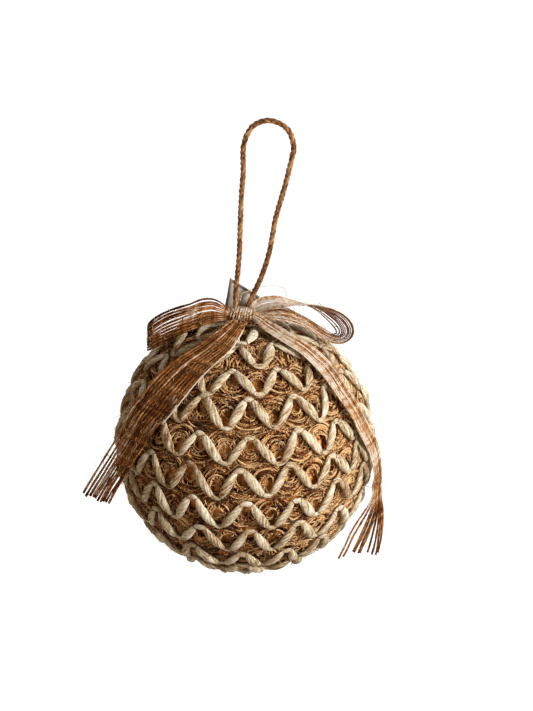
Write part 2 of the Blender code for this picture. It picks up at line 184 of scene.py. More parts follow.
# =========================================================================================
# Mesh tubes
# =========================================================================================
class Batch:
    """Tubes gathered into one mesh, with a fibre UV (mm along, turns around) and a tone."""

    def __init__(self):
        self.v, self.quads, self.quv, self.tris, self.tuv, self.tone = [], [], [], [], [], []
        self.count = 0

    def add(self, ring_points, along, closed, tone, uv_twist=0.0):
        n, k, _ = ring_points.shape
        base = self.count
        self.v.append(ring_points.reshape(-1, 3))
        tone = np.broadcast_to(np.asarray(tone, float).reshape(-1, 1), (n, k)).reshape(-1)
        self.tone.append(tone)
        self.count += n * k
        rows = n if closed else n - 1
        i = np.arange(rows)[:, None]
        j = np.arange(k)[None, :]
        i1, j1 = (i + 1) % n, (j + 1) % k
        quad = np.stack([i * k + j, i * k + j1, i1 * k + j1, i1 * k + j], -1).reshape(-1, 4) + base
        self.quads.append(quad)
        a0 = along[:rows][:, None] * np.ones((1, k))
        step = np.append(np.diff(along), along[1] - along[0]) if closed else np.diff(along)
        a1 = (along[:rows] + step[:rows])[:, None] * np.ones((1, k))
        r0 = (j / k) * np.ones((rows, 1))
        r1 = ((j + 1) / k) * np.ones((rows, 1))
        uv = np.stack([np.stack([a0, r0 - a0 * uv_twist], -1), np.stack([a0, r1 - a0 * uv_twist], -1),
                       np.stack([a1, r1 - a1 * uv_twist], -1), np.stack([a1, r0 - a1 * uv_twist], -1)],
                      2).reshape(-1, 2)
        self.quv.append(uv)
        if not closed:
            for row, flip in ((0, True), (n - 1, False)):
                centre = ring_points[row].mean(axis=0)
                self.v.append(centre[None, :])
                self.tone.append(np.array([tone[row * k]]))
                c = self.count
                self.count += 1
                jj = np.arange(k)
                a, b = base + row * k + jj, base + row * k + (jj + 1) % k
                tri = np.stack([b, a, np.full(k, c)] if flip else [a, b, np.full(k, c)], -1)
                self.tris.append(tri)
                self.tuv.append(np.tile([along[row], 0.5], (k * 3, 1)))

    def merge(self, other):
        shift = self.count
        self.v += other.v
        self.tone += other.tone
        self.quads += [q + shift for q in other.quads]
        self.tris += [q + shift for q in other.tris]
        self.quv += other.quv
        self.tuv += other.tuv
        self.count += other.count

    def triangles(self):
        return 2 * sum(len(q) for q in self.quads) + sum(len(t) for t in self.tris)

    def build(self, name, material, slot, nodes=(), smooth=True):
        verts = to_row(np.concatenate(self.v))
        quads = np.concatenate(self.quads)
        tris = np.concatenate(self.tris) if self.tris else np.zeros((0, 3), int)
        loops = np.concatenate([quads.reshape(-1), tris.reshape(-1)])
        starts = np.concatenate([np.arange(len(quads)) * 4, len(quads) * 4 + np.arange(len(tris)) * 3])
        mesh = bpy.data.meshes.new(name)
        mesh.vertices.add(len(verts))
        mesh.vertices.foreach_set("co", verts.astype(np.float32).reshape(-1))
        mesh.loops.add(len(loops))
        mesh.loops.foreach_set("vertex_index", loops.astype(np.int32))
        mesh.polygons.add(len(starts))
        mesh.polygons.foreach_set("loop_start", starts.astype(np.int32))
        mesh.update(calc_edges=True)
        uv = mesh.uv_layers.new(name="fibre")
        coords = np.concatenate(self.quv + self.tuv).astype(np.float32)
        uv.data.foreach_set("uv", coords.reshape(-1))
        tone = mesh.attributes.new("tone", "FLOAT", "POINT")
        tone.data.foreach_set("value", np.concatenate(self.tone).astype(np.float32))
        if smooth:
            mesh.shade_smooth()
        mesh.materials.append(material)
        mesh.validate()
        obj = bpy.data.objects.new(name, mesh)
        bpy.context.scene.collection.objects.link(obj)
        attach(obj, "root")
        if nodes:
            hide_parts(*nodes)
        TOTAL.append(self.triangles())
        print("TRIS", name, self.triangles())
        return obj


TOTAL = []


def unit(a):
    return a / np.maximum(np.linalg.norm(a, axis=-1, keepdims=True), 1e-9)


def arc_length(p):
    d = np.linalg.norm(np.diff(p, axis=0), axis=1)
    return np.concatenate([[0.0], np.cumsum(d)])


def resample(p, step, closed=False, extra=None):
    """Even points along a line; extra columns are carried with it."""
    q = np.vstack([p, p[:1]]) if closed else np.asarray(p, float)
    s = arc_length(q)
    n = max(2, int(round(s[-1] / step)))
    t = np.linspace(0, s[-1], n + 1)
    if closed:
        t = t[:-1]
    out = np.stack([np.interp(t, s, q[:, c]) for c in range(q.shape[1])], 1)
    if extra is None:
        return out, t
    ex = np.vstack([extra, extra[:1]]) if closed else np.asarray(extra, float)
    return out, t, np.stack([np.interp(t, s, ex[:, c]) for c in range(ex.shape[1])], 1)


def tangents(p, closed):
    if closed:
        return unit(np.roll(p, -1, 0) - np.roll(p, 1, 0))
    t = np.empty_like(p)
    t[1:-1] = p[2:] - p[:-2]
    t[0], t[-1] = p[1] - p[0], p[-1] - p[-2]
    return unit(t)


def tube(batch, path, radius, normal, closed=False, sides=6, twist=0.0, lobes=None, ridge=None,
         flat=(1.0, 1.0), tone=0.0, along=None, phase=0.0, uv_twist=0.0):
    """A tube along path (n,3). normal (n,3) is the side that faces up. lobes are radii round a
    section that turns by twist (radians a mm); ridge(angle, along) scales the radius."""
    path = np.asarray(path, float)
    n = len(path)
    if along is None:
        along = arc_length(path)
    t = tangents(path, closed)
    nn = normal - (normal * t).sum(1, keepdims=True) * t
    nn = unit(nn)
    bb = np.cross(t, nn)
    k = sides if lobes is None else len(lobes)
    theta = np.arange(k) / k * 2 * math.pi
    rad = np.broadcast_to(np.asarray(radius, float).reshape(-1, 1), (n, 1)) * np.ones((1, k))
    if lobes is not None:
        rad = rad * np.asarray(lobes)[None, :]
    total = along[-1] + (np.linalg.norm(path[0] - path[-1]) if closed else 0.0)
    if closed and twist:
        turns = round(twist * total / math.pi)
        twist = turns * math.pi / total
    ang = theta[None, :] + phase + twist * along[:, None]
    if ridge is not None:
        rad = rad * ridge(ang, along[:, None])
    ring = (path[:, None, :] + nn[:, None, :] * (np.cos(ang) * rad)[:, :, None] * flat[0]
            + bb[:, None, :] * (np.sin(ang) * rad)[:, :, None] * flat[1])
    batch.add(ring, along, closed, tone, uv_twist)


def ease(v):
    v = np.clip(v, 0, 1)
    return v * v * (3 - 2 * v)


def on_ball(lon, lat, r):
    """Point over the ball, which is a little fuller at its upper sides than a true ball."""
    turn = (np.asarray(lon, float) + 180.0) % 360.0 - 180.0
    start = np.where(turn > 0, 6.0, 18.0)
    r = r + 1.0 * ease((lat - start) / 20.0) * ease((np.abs(turn) - 55.0) / 35.0) * ease((86.0 - lat) / 20.0)
    lon, lat = np.radians(lon), np.radians(lat)
    return np.stack([r * np.cos(lat) * np.sin(lon), -r * np.cos(lat) * np.cos(lon), r * np.sin(lat)], -1)


def right_side(lon):
    """0 in front, 1 on the ball's right-hand side."""
    lon = (np.asarray(lon, float) + 180.0) % 360.0 - 180.0
    return ease((lon - 12.0) / 50.0) * ease((118.0 - lon) / 25.0)


def painted_light_right(p):
    """Painted light: how much lighter the fuzz over the ball is painted at a point, 0 in front and 1 on the ball's
    right-hand side, where the light from the right falls.
    """
    return right_side(np.degrees(np.arctan2(p[:, 0], -p[:, 1])))


def wobble(n, amount, smooth, closed=True):
    """Slow random drift of n samples."""
    m = max(4, int(n / smooth))
    k = rng.normal(0, amount, m)
    if closed:
        k = np.append(k, k[0])
        return np.interp(np.linspace(0, m, n, endpoint=False), np.arange(m + 1), k)
    return np.interp(np.linspace(0, m - 1, n), np.arange(m), k)


def smooth_route(points, steps):
    p = np.asarray(points, float)
    ext = np.vstack([2 * p[0] - p[1], p, 2 * p[-1] - p[-2]])
    out = []
    for i in range(1, len(ext) - 2):
        p0, p1, p2, p3 = ext[i - 1:i + 3]
        t = (np.arange(steps) / steps)[:, None]
        out.append(0.5 * (2 * p1 + (p2 - p0) * t + (2 * p0 - 5 * p1 + 4 * p2 - p3) * t ** 2
                          + (3 * p1 - p0 - 3 * p2 + p3) * t ** 3))
    out.append(p[-1:])
    return np.vstack(out)


class Row:
    """The turns of one row: even numbers are lower turns, odd numbers upper turns."""

    def __init__(self, row):
        count, phase, front = ROWS[row]
        self.count, self.n = count, 2 * count
        self.mid = ROW_TOP - ROW_PITCH * row
        high, low = min(self.mid + ROW_HALF, 84.5), max(self.mid - ROW_HALF, -85.5)
        squeeze = 1.0 - front * count / 360.0
        table = TURNS.get(row)
        if table is None:
            k = np.arange(self.n)
            a = k * math.pi / count
            lon = phase + np.degrees(a - squeeze * np.sin(a)) + rng.normal(0, 0.05, self.n) * 360 / self.n
            lat = np.where(k % 2 == 0, low, high) + rng.normal(0, 0.45, self.n)
            self.first = 0
            nominal = [low, high]
        else:
            m = len(table)
            self.first = 1 if table[0][1] > self.mid else 0
            lows = [q[1] for q in table if q[1] < self.mid]
            highs = [q[1] for q in table if q[1] > self.mid]
            nominal = [float(np.mean(lows)), float(np.mean(highs))]
            rest = (360.0 - (table[-1][0] - table[0][0])) / (self.n - m + 1)
            lon = np.array([q[0] for q in table] + [table[-1][0] + rest * (i + 1) for i in range(self.n - m)])
            lat = np.array([q[1] for q in table] + [nominal[(self.first + m + i) % 2] for i in range(self.n - m)])
            lon[m:] += rng.normal(0, 0.06, self.n - m) * rest
            lat[m:] += rng.normal(0, 0.6, self.n - m)
        self.nominal = nominal
        self.k = self.first + np.arange(self.n + 1)
        self.lon = np.append(lon, lon[0] + 360.0)
        self.lat = np.append(lat, lat[0])

    def place(self, t):
        """Longitude at turn number t, and the latitudes of the lower and the upper turn nearby."""
        s = self.first + np.mod(np.asarray(t, float) - self.first, self.n)
        lon = np.interp(s, self.k, self.lon)
        lower, upper = self.k % 2 == 0, self.k % 2 == 1
        ks = np.concatenate([self.k - self.n, self.k, self.k + self.n])
        ls = np.tile(self.lat, 3)
        even = np.mod(ks, 2) == 0
        low = np.interp(s, ks[even], ls[even])
        high = np.interp(s, ks[~even], ls[~even])
        return lon, low, high


ROW = [Row(i) for i in range(12)]


# =========================================================================================
# Materials
# =========================================================================================
def srgb(r, g, b):
    def lin(c):
        c /= 255.0
        return c / 12.92 if c <= 0.04045 else ((c + 0.055) / 1.055) ** 2.4
    return (lin(r), lin(g), lin(b), 1.0)


def yarn_material(name, dark, mid, light, fibre=(0.9, 3.0), rough=0.85, sheen=0.3, bump=0.25,
                  patch=0.25, tone_amount=0.25, spec=0.25, centre=0.0, spread=1.0, painted_light_colour=None, crest_highlight=0.0, speckle=0.0,
                  grain=1500.0):
    """Spun fibre: streaks that run along the yarn, soft patches, a tone to each yarn, a light top colour for painted
    light, and a painted highlight, a wave round each yarn that is lighter on the yarn's faces than on its sides."""
    mat = bpy.data.materials.new(name)
    mat.use_nodes = True
    nt = mat.node_tree
    n, l = nt.nodes, nt.links
    bsdf = n["Principled BSDF"]
    bsdf.inputs["Roughness"].default_value = rough
    bsdf.inputs["Sheen Weight"].default_value = sheen
    bsdf.inputs["Sheen Roughness"].default_value = 0.45
    bsdf.inputs["Specular IOR Level"].default_value = spec
    uv = n.new("ShaderNodeUVMap")
    uv.uv_map = "fibre"
    mp = n.new("ShaderNodeMapping")
    mp.inputs["Scale"].default_value = (fibre[0], fibre[1], 1.0)
    l.new(uv.outputs["UV"], mp.inputs["Vector"])
    streak = n.new("ShaderNodeTexNoise")
    streak.inputs["Scale"].default_value = 1.0
    streak.inputs["Detail"].default_value = 3.0
    streak.inputs["Roughness"].default_value = 0.6
    l.new(mp.outputs["Vector"], streak.inputs["Vector"])
    tc = n.new("ShaderNodeTexCoord")
    soft = n.new("ShaderNodeTexNoise")
    soft.inputs["Scale"].default_value = 160.0
    soft.inputs["Detail"].default_value = 3.0
    l.new(tc.outputs["Object"], soft.inputs["Vector"])
    tone = n.new("ShaderNodeAttribute")
    tone.attribute_name = "tone"
    add1 = n.new("ShaderNodeMath")
    add1.operation = "MULTIPLY_ADD"
    add1.inputs[1].default_value = patch
    l.new(soft.outputs["Fac"], add1.inputs[0])
    l.new(streak.outputs["Fac"], add1.inputs[2])
    add2 = n.new("ShaderNodeMath")
    add2.operation = "MULTIPLY_ADD"
    add2.inputs[1].default_value = tone_amount
    l.new(tone.outputs["Fac"], add2.inputs[0])
    l.new(add1.outputs["Value"], add2.inputs[2])
    ramp = n.new("ShaderNodeValToRGB")
    cr = ramp.color_ramp
    mean = 0.5 + 0.5 * patch + 0.5 * speckle - centre
    cr.elements[0].position = max(0.0, mean - 0.17 * spread)
    cr.elements[0].color = dark
    cr.elements[1].position = min(1.0, mean + 0.17 * spread)
    cr.elements[1].color = light
    m = cr.elements.new(mean)
    m.color = mid
    # painted light: a light top colour that the tone reaches where the yarn is painted lighter on its lit side
    if painted_light_colour is not None:
        m = cr.elements.new(min(1.0, mean + 0.34 * spread))
        m.color = painted_light_colour
    total = add2.outputs["Value"]
    if speckle:
        fine = n.new("ShaderNodeTexNoise")
        fine.inputs["Scale"].default_value = grain
        fine.inputs["Detail"].default_value = 2.0
        l.new(tc.outputs["Object"], fine.inputs["Vector"])
        add4 = n.new("ShaderNodeMath")
        add4.operation = "MULTIPLY_ADD"
        add4.inputs[1].default_value = speckle
        l.new(fine.outputs["Fac"], add4.inputs[0])
        l.new(total, add4.inputs[2])
        total = add4.outputs["Value"]
    # painted highlight: lighter on the faces of each yarn and darker on its sides, twice round
    if crest_highlight:
        sep = n.new("ShaderNodeSeparateXYZ")
        l.new(uv.outputs["UV"], sep.inputs["Vector"])
        turn = n.new("ShaderNodeMath")
        turn.operation = "MULTIPLY"
        turn.inputs[1].default_value = 4 * math.pi
        l.new(sep.outputs["Y"], turn.inputs[0])
        wave = n.new("ShaderNodeMath")
        wave.operation = "COSINE"
        l.new(turn.outputs["Value"], wave.inputs[0])
        add3 = n.new("ShaderNodeMath")
        add3.operation = "MULTIPLY_ADD"
        add3.inputs[1].default_value = crest_highlight
        l.new(wave.outputs["Value"], add3.inputs[0])
        l.new(total, add3.inputs[2])
        total = add3.outputs["Value"]
    l.new(total, ramp.inputs["Fac"])
    l.new(ramp.outputs["Color"], bsdf.inputs["Base Color"])
    bp = n.new("ShaderNodeBump")
    bp.inputs["Strength"].default_value = bump
    bp.inputs["Distance"].default_value = 0.0002
    l.new(streak.outputs["Fac"], bp.inputs["Height"])
    l.new(bp.outputs["Normal"], bsdf.inputs["Normal"])
    return mat


# painted light: the jute's lightest colour is reached where the braid is painted lighter towards the right
m_jute = yarn_material("jute_braid_yarn", srgb(62, 27, 6), srgb(162, 94, 34), srgb(226, 167, 94),
                       painted_light_colour=srgb(226, 186, 132), fibre=(1.4, 2.5), sheen=0.12, bump=0.7, spec=0.20, spread=0.9, speckle=0.6, grain=1700.0)
# painted shade: the ground's near-black browns stand for the shade in the gaps between the braid's yarns
m_painted_shade_ground = yarn_material("jute_braid_ground_painted_shade", srgb(30, 12, 3), srgb(72, 34, 10), srgb(142, 80, 28),
                         fibre=(1.2, 4.0), sheen=0.0, bump=0.4, spec=0.05, speckle=0.6, grain=1200.0)
m_cream = yarn_material("cream_cord_fibre", srgb(128, 88, 44), srgb(204, 184, 149), srgb(246, 238, 219),
                        fibre=(0.2, 13.0), sheen=0.05, bump=1.0, patch=0.2, spread=1.0, spec=0.15, speckle=0.35,
                        grain=1300.0)
# painted light and highlight: the ribbon's lightest colour is reached where the bow is painted lighter on its lit
# right side, and each warp is painted lighter along its faces
m_ribbon = yarn_material("ribbon_yarn", srgb(66, 29, 4), srgb(142, 82, 28), srgb(190, 143, 92), painted_light_colour=srgb(218, 206, 190),
                         fibre=(0.5, 3.0), sheen=0.03, patch=0.10, spec=0.12, crest_highlight=0.10, bump=0.4, speckle=0.4, grain=1700.0)
# painted highlight: each ply is painted lighter along its faces than on its sides
m_twine = yarn_material("twine_ply", srgb(80, 44, 16), srgb(144, 93, 48), srgb(194, 146, 96),
                        fibre=(0.5, 4.0), sheen=0.10, bump=0.5, crest_highlight=0.05, speckle=0.3)
m_stitch = yarn_material("stitch_thread", srgb(92, 52, 18), srgb(160, 108, 52), srgb(212, 166, 104))
m_hair = yarn_material("loose_fibre", srgb(84, 46, 16), srgb(170, 118, 66), srgb(228, 194, 146), bump=0.0,
                       fibre=(0.3, 0.5), tone_amount=0.4, sheen=0.1)
m_core = yarn_material("core_thread", srgb(150, 78, 18), srgb(230, 142, 50), srgb(254, 198, 110),
                       fibre=(0.06, 0.5), rough=0.5, sheen=0.0, spec=0.35, bump=0.1, speckle=0.5, grain=1000.0)
m_grey = yarn_material("grey_tab_cloth", srgb(140, 135, 128), srgb(182, 176, 168), srgb(208, 202, 194),
                       fibre=(0.4, 4.0), rough=0.6, bump=0.1, sheen=0.05, speckle=0.2)


# =========================================================================================
# Core ball: satin thread wound from pole to pole
# =========================================================================================
def core_ball():
    batch = Batch()
    threads, k = 300, 600
    lats = np.linspace(-88.5, 88.5, 23)
    theta = np.arange(k) / k * 360.0
    ridge = 0.12 * np.abs(np.cos(np.radians(theta) * threads / 2))
    rings = []
    for lat in lats:
        lon = -theta + 6.0 * math.sin(math.radians(lat) * 1.5)
        rings.append(on_ball(lon, np.full(k, lat), CORE_R - 0.1 + ridge * max(0.15, math.cos(math.radians(lat)))))
    rings = np.stack(rings)
    along = np.radians(lats) * CORE_R
    batch.add(rings, along - along[0], False, 0.0)
    for part in batch.quv:
        part[:, 1] *= threads
    return batch.build("wound_core", m_core, "core_satin", ["core_ball"])


core_ball()

# =========================================================================================
# Jute braid: five yarns that swing together round an eyelet at every turn
# =========================================================================================
LOBES = (1.0, 0.70, 0.70, 1.0, 0.70, 0.70)
YARNS = 7
BRAID_R = 0.35
LIMIT = 6.75


def soft_limit(v, start, limit):
    over = np.abs(v) - start
    return np.where(over > 0, np.sign(v) * (start + (limit - start) * np.tanh(np.maximum(over, 0) / (limit - start))), v)


def braid_ring(row):
    r = ROW[row]
    re = 48.0 * math.cos(math.radians(r.mid))
    deg = 48.0 * math.pi / 180.0

    def at(u, v, h):
        lat = np.clip(r.mid + v / deg, -89.0, 89.0)
        return on_ball(np.degrees(u / re), lat, h)

    kinds = r.k[:-1] % 2
    cu = re * np.radians(r.lon)
    cv = np.array([(-0.2, 0.5)[k % 2] + 0.5 * deg * (lat - r.nominal[k % 2]) for k, lat in zip(r.k, r.lat)])
    du, dv = np.diff(cu), np.diff(cv)
    dist, beta = np.hypot(du, dv), np.arctan2(dv, du)
    steps = 22

    def line(frac):
        us, vs = [], []
        s = np.arange(steps) / steps
        for i in range(r.n):
            dl, dr, bl, br = dist[i - 1], dist[i], beta[i - 1], beta[i]
            if kinds[i] == 0:
                a = (math.pi + bl) + (br - math.pi - bl) * s
                rr = frac * (dl + (dr - dl) * s)
            else:
                a = (math.pi + bl) + (math.pi + br - bl) * s
                rr = (1 - frac) * (dl + (dr - dl) * s)
            us.append(cu[i] + rr * np.cos(a))
            vs.append(cv[i] + rr * np.sin(a))
        return np.concatenate(us), np.concatenate(vs)

    batch = Batch()
    gap = float(np.mean(dist))
    yarn_r = BRAID_R * min(1.0, gap / 9.6)
    for j in range(YARNS):
        u, v = line(0.255 + 0.54 * j / (YARNS - 1))
        n = len(u)
        v = soft_limit(v, 5.2, LIMIT)
        u = u + wobble(n, 0.24, 5) + wobble(n, 0.16, 15)
        v = v + wobble(n, 0.24, 5) + wobble(n, 0.20, 15)
        h = LACE_R + wobble(n, 0.40, 5) + 0.16 * ((j % 2) * 2 - 1) * np.sin(np.arange(n) / steps * math.pi)
        p = at(u, v, h)
        p, along = resample(p, 0.92, closed=True)
        # each yarn's tone is random, plus painted light that makes it lighter towards the ball's right-hand side
        tube(batch, p, yarn_r * (1 + wobble(len(p), 0.26, 3)), unit(p), closed=True, sides=5,
             tone=rng.normal(0, 0.2) + wobble(len(p), 0.6, 4) + 0.45 * painted_light_right(p), along=along, phase=rng.uniform(0, 6))
    # yarns along both edges, that fill the corners between the swings
    for edge in (-1, 1):
        for base in (4.5, 5.5, 6.5):
            m = int(abs(re) * 2 * math.pi / 1.5)
            u = np.linspace(0, 2 * math.pi * re, m, endpoint=False)
            v = edge * (base + wobble(m, 0.30, 3))
            p = at(u, v, EDGE_R + wobble(m, 0.22, 3))
            p, along = resample(p, 1.1, closed=True)
            # the edge yarns take the same painted light towards the right
            tube(batch, p, yarn_r * 0.95 * (1 + wobble(len(p), 0.10, 3)), unit(p), closed=True,
                 lobes=(1.0, 0.75, 1.0, 0.75), twist=1.2, tone=0.05 + wobble(len(p), 0.6, 4) + 0.45 * painted_light_right(p), along=along,
                 phase=rng.uniform(0, 6))
    # binding stitches over the inner yarns of every turn
    for i in range(r.n):
        lower = kinds[i] == 0
        r0 = 0.285 * dist[i]
        for a in np.linspace(0.10, 0.90, 6) + rng.normal(0, 0.03, 6):
            ang = math.pi * a + (0 if lower else math.pi)
            rr = np.linspace(r0 - 0.55, r0 + 0.6 + rng.uniform(-0.1, 0.7), 4)
            hh = LACE_R + np.array([-0.3, 0.5, 0.62, 0.1]) + rng.normal(0, 0.05)
            sk = rng.normal(0, 0.12)
            aa = ang + sk * (rr - r0)
            p = at(cu[i] + rr * np.cos(aa), cv[i] + rr * np.sin(aa), hh)
            tube(batch, p, 0.20, unit(p), sides=3, tone=rng.normal(0.7, 0.4))
        # strands that stray across an eyelet
        for _ in range(max(0, int(rng.normal(2.2, 1.7)))):
            a0 = rng.uniform(0, 2 * math.pi)
            a1 = a0 + rng.uniform(1.4, 3.6)
            ends = np.array([[math.cos(a0), math.sin(a0)], [math.cos(a1), math.sin(a1)]]) * (r0 + 0.4)
            s = np.linspace(0, 1, 5)[:, None]
            q = ends[0] * (1 - s) + ends[1] * s + np.outer(np.sin(math.pi * s[:, 0]), rng.normal(0, 0.6, 2))
            p = at(cu[i] + q[:, 0], cv[i] + q[:, 1], LACE_R - rng.uniform(0.2, 1.0) - 0.4 * np.sin(math.pi * s[:, 0]))
            tube(batch, p, rng.uniform(0.13, 0.30), unit(p), sides=3, tone=rng.normal(0.1, 0.6))
    obj = batch.build(f"braid_ring_{row + 1:02d}", m_jute, "jute_braid", [f"lace_ring_{row + 1:02d}"])
    # the ground of the braid, in one band that follows the swings, painted near-black as the shade between the yarns
    # and painted lighter towards the ball's right-hand side as painted light
    ground = Batch()
    u, v = line(0.5)
    p = at(u, soft_limit(v, 4.6, 5.4), GROUND_R)
    p, along = resample(p, 1.2, closed=True)
    tube(ground, p, 2.75 * min(1.0, gap / 9.6), unit(p), closed=True, sides=6, flat=(0.08, 1.0), along=along,
         phase=math.pi / 2, tone=wobble(len(p), 0.4, 6) + 1.2 * painted_light_right(p))
    return obj, ground


grounds = Batch()
for row in range(12):
    _, g = braid_ring(row)
    grounds.merge(g)
grounds.build("braid_ground", m_painted_shade_ground, "jute_braid")

# =========================================================================================
# Cream cords: soft roving laid in zigzags, nipped in by a stitch on each side of every turn
# =========================================================================================
SIDE = 0.17                   # half the length of a turn, as a share of a leg
LIFTS = [(-112.0, 42.0, 0.6)]     # places where the cords stand off: longitude, latitude, mm


def cream_cord(row):
    r = ROW[row]
    batch, stitches = Batch(), Batch()
    per = 44
    m = r.n * per
    t = r.first + np.arange(m) / per
    k = np.round(t)
    g = (t - k) / SIDE
    turning = np.abs(g) <= 1
    # on a leg x runs from 0 to 1
    lower_end = np.floor(t)
    x = np.clip((t - lower_end - SIDE) / (1 - 2 * SIDE), 0, 1)
    rising = np.mod(lower_end, 2) == 0
    leg = np.where(rising, -0.90 + 1.80 * x, 0.90 - 1.80 * x)
    turn_sign = np.where(np.mod(k, 2) == 0, -1.0, 1.0)
    crown = np.sqrt(np.clip(1 - g ** 2, 0, 1))
    height = np.where(turning, turn_sign * (0.90 + 0.10 * crown), leg)
    leg_size = rng.uniform(0.86, 1.12, r.n + 2)
    side = right_side(r.place(t)[0])
    fat = leg_size[(lower_end - r.first).astype(int)] * np.where(rising, 0.95 - 0.24 * side, 1.04 + 0.08 * side)
    turn_fat = np.where(turn_sign > 0, 0.44, 0.20)
    full = np.where(turning, turn_fat * crown, np.sin(math.pi * x) ** 0.55 * fat)
    kernel = np.hanning(9)
    kernel /= kernel.sum()
    pad = 8
    height = np.convolve(np.concatenate([height[-pad:], height, height[:pad]]), kernel, "same")[pad:-pad]
    full = np.convolve(np.concatenate([full[-pad:], full, full[:pad]]), kernel, "same")[pad:-pad]
    lon, low, high = r.place(t)
    lat = (high + low) / 2 + height * (high - low) / 2
    rad = CORD_R - 1.15 * (1 - np.clip(full, 0, 1)) ** 1.2 + wobble(m, 0.06, 30)
    for at_lon, at_lat, lift in LIFTS:
        near = ((lon - at_lon + 180.0) % 360.0 - 180.0) * np.cos(np.radians(lat))
        rad = rad + lift * np.exp(-(near / 9.0) ** 2 - ((lat - at_lat) / 9.0) ** 2)
    p = on_ball(lon, lat, rad)
    # close points on the turns, wider ones on the legs
    gap = np.linalg.norm(np.roll(p, -1, 0) - p, axis=1) / (0.72 + 0.42 * np.clip(full, 0, 1))
    places = np.concatenate([[0.0], np.cumsum(gap)])
    count = int(round(places[-1]))
    want = np.linspace(0, places[-1], count, endpoint=False)
    pull = np.column_stack([p, full, t - r.first])
    pull = np.vstack([pull, pull[:1]])
    pull[-1, 4] = r.n
    pull = np.stack([np.interp(want, places, pull[:, c]) for c in range(5)], 1)
    p, ex = pull[:, :3], pull[:, 3:]
    along = arc_length(p)
    fat = np.clip(ex[:, 0], 0, 1.25)
    size = 0.57 + 1.00 * fat * (1 + wobble(len(p), 0.07, 10))
    total = along[-1] + np.linalg.norm(p[0] - p[-1])
    turns = max(1, round(total / rng.uniform(15.0, 23.0)))
    w = 2 * math.pi * turns / total
    sides = 20
    deep = rng.uniform(0.3, 1.0, sides) * (rng.permutation(sides) % 3 == 0)
    crease = np.stack([1.0 - 0.27 * np.roll(deep, int(v)) * (0.5 + 0.5 * math.sin(0.31 * i)) for i, v in
                       enumerate(np.cumsum(rng.normal(0, 0.30, len(p))))])
    crease *= 1.0 + 0.05 * np.stack([wobble(len(p), 1.0, 3) for _ in range(sides)], 1)

    def ridge(a, s):
        return crease

    tube(batch, p, size, unit(p), closed=True, sides=sides, ridge=ridge, flat=(0.80, 1.18), twist=w,
         tone=wobble(len(p), 0.2, 12), along=along)
    cord = batch.build(f"cream_cord_yarn_{row + 1:02d}", m_cream, "cream_cord", [f"cream_cord_{row + 1:02d}"])
    marks = [i + s for i in range(r.n) for s in (-SIDE, SIDE)]
    for mark in marks:
        i = int(np.argmin(np.abs((ex[:, 1] - mark + r.n / 2) % r.n - r.n / 2)))
        c, up = p[i], unit(p[i:i + 1])[0]
        tan = unit((p[(i + 1) % len(p)] - p[i - 1])[None])[0]
        across = unit(np.cross(up, tan)[None])[0]
        lean = rng.normal(0, 0.30)
        a = np.linspace(-0.2, math.pi + 0.2, 6)
        rs = size[i] + 0.06
        q = c + np.outer(np.cos(a) * rs * 1.10, across) + np.outer(np.sin(a) * rs * 0.92, up) + np.outer(np.cos(a) * lean, tan)
        tube(stitches, q, 0.17, np.tile(tan, (len(q), 1)), sides=3, tone=rng.normal(0.0, 0.5))
    return stitches


stitch_total = Batch()
for row in range(12):
    stitch_total.merge(cream_cord(row))
stitch_total.build("couching_stitches", m_stitch, "cream_cord")


# =========================================================================================
# Ribbon: warps and thin wefts
# =========================================================================================
def ribbon_surface(sections, step=1.0):
    left = smooth_route([s[0] for s in sections], 12)
    right = smooth_route([s[1] for s in sections], 12)
    mid = (left + right) / 2
    mid, along, ex = resample(mid, step, extra=np.hstack([left, right]))
    left, right = ex[:, :3], ex[:, 3:]
    tan = tangents(mid, False)
    normal = unit(np.cross(tan, right - left))
    return left, right, normal, along


FUZZY = []                    # ribbon surfaces that take loose fuzz


